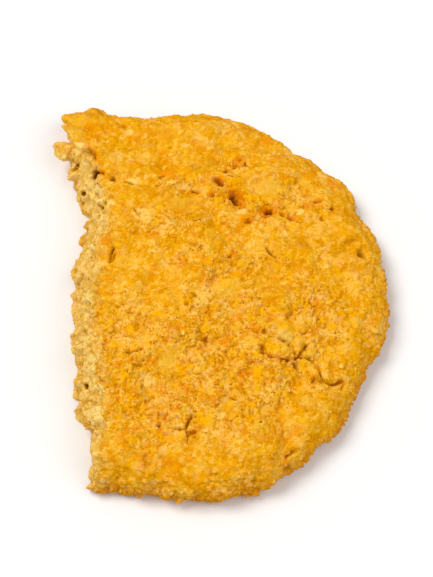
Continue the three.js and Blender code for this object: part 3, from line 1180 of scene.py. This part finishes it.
def crumb_material(name, stops):
    """Crumbs or flakes, each with a tint of its own and painted shade on its sunk lower side."""
    nodes = Nodes(name)
    mottle = nodes.noise(*CRUMB_MOTTLE)
    tint = nodes.attribute("tint")
    shade = nodes.weighted((tint, CRUMB_TINT_WEIGHT), (mottle, CRUMB_MOTTLE_WEIGHT))
    colour = nodes.ramp(shade, stops)
    # Painted shade: the lower, sunk side of each crumb is darkened
    sunk = nodes.range(nodes.attribute("sunk"), *CRUMB_SHADE_WHERE_SUNK)
    colour = nodes.mix(sunk, colour, PAINTED_SHADE_TINT, "MULTIPLY")
    return nodes.finish(colour, mottle, CRUMB_GRAIN, CRUMB_BUMPS)


def dress(piece, material):
    piece.data.materials.clear()
    piece.data.materials.append(material)
    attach(piece, "root")


def make_cookie():
    """The skin in four pieces in place of the solid. Returns the three that crumbs lie on."""
    skin = skin_shape(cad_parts["cookie"])
    below = attribute(skin.data, "underside") > 0.5
    left = (attribute(skin.data, "broken") > 0.5) & ~below
    round_side = (attribute(skin.data, "side") > 0.5) & ~below & ~left
    crust = part_of(skin, "crust", ~below & ~left & ~round_side)
    rim = part_of(skin, "rim", round_side)
    broken_side = part_of(skin, "broken_side", left)
    underside = thinned(part_of(skin, "underside", below), UNDERSIDE_KEPT)
    bpy.data.objects.remove(skin)
    baked = baked_material()
    for piece in (crust, rim, broken_side, underside):
        dress(piece, baked)
    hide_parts("cookie")
    return crust, rim, broken_side


def make_crumbs(crust, rim, broken_side):
    """The crumbs, pale bits and oat flakes, most of them where the cookie is crumbly."""
    golden = crumb_material("crust crumbs", CRUST_COLOURS)
    pale = crumb_material("broken crumbs", BROKEN_COLOURS)
    on_crust = 1 - rise(attribute(crust.data, "depth"), *CREVICE_DEPTHS)
    likely = on_crust * (ON_COMPACT_CRUST + attribute(crust.data, "crumbly"))
    dress(crumbs("crust_crumbs", crust, likely, CRUST_CRUMBS, SMALL_CRUMB_DIVISIONS), golden)
    likely = HIGH_ON_RIM + attribute(rim.data, "low")
    likely *= ON_COMPACT_RIM + attribute(rim.data, "crumbly")
    dress(crumbs("rim_crumbs", rim, likely, RIM_CRUMBS, SMALL_CRUMB_DIVISIONS), golden)
    likely = rise(points_of(broken_side.data)[:, 2], *CRUMB_HEIGHTS)
    likely *= attribute(broken_side.data, "pale")
    dress(crumbs("broken_crumbs", broken_side, likely, BROKEN_CRUMBS, LARGE_CRUMB_DIVISIONS), pale)
    bits = crumbs("pale_bits", crust, on_crust, PALE_BITS, LARGE_CRUMB_DIVISIONS)
    dress(bits, crumb_material("pale bits", PALE_COLOURS))
    flakes = oat_flakes("oat_flakes", crust, on_crust, OAT_FLAKES)
    dress(flakes, crumb_material("oat flakes", FLAKE_COLOURS))


def make_floor():
    bpy.ops.mesh.primitive_plane_add(size=FLOOR_SIZE)
    floor = bpy.context.object
    floor.name = "floor"
    floor.location.z = cad_low.z - FLOOR_GAP
    nodes = Nodes("pale floor")
    nodes.shader.inputs["Base Color"].default_value = (*FLOOR_COLOUR, 1)
    nodes.shader.inputs["Roughness"].default_value = FLOOR_ROUGHNESS
    floor.data.materials.append(nodes.material)


def area_light(name, place, size, power, colour):
    """A square light that faces the cookie."""
    light = bpy.data.lights.new(name, "AREA")
    light.size = size
    light.energy = power
    light.color = colour
    lamp = new_object(name, light)
    lamp.location = place
    lamp.rotation_euler = (-Vector(place)).to_track_quat("-Z", "Y").to_euler()


def make_lights():
    area_light("key", *KEY_LIGHT)
    area_light("fill", *FILL_LIGHT)
    world = bpy.data.worlds.new("studio")
    world.use_nodes = True
    background = world.node_tree.nodes["Background"]
    background.inputs["Color"].default_value = (*STUDIO_COLOUR, 1)
    background.inputs["Strength"].default_value = STUDIO_LIGHT
    bpy.context.scene.world = world
    bpy.context.scene.view_settings.view_transform = "Standard"


def make_camera():
    data = bpy.data.cameras.new("camera")
    data.lens = CAMERA_LENS
    camera = new_object("camera", data)
    back = Vector((0, -math.cos(CAMERA_ELEVATION), math.sin(CAMERA_ELEVATION)))
    camera.location = CAMERA_TARGET + back * CAMERA_DISTANCE
    camera.rotation_euler = (-back).to_track_quat("-Z", "Y").to_euler()
    bpy.context.scene.camera = camera


make_camera()
make_lights()
make_floor()
make_crumbs(*make_cookie())
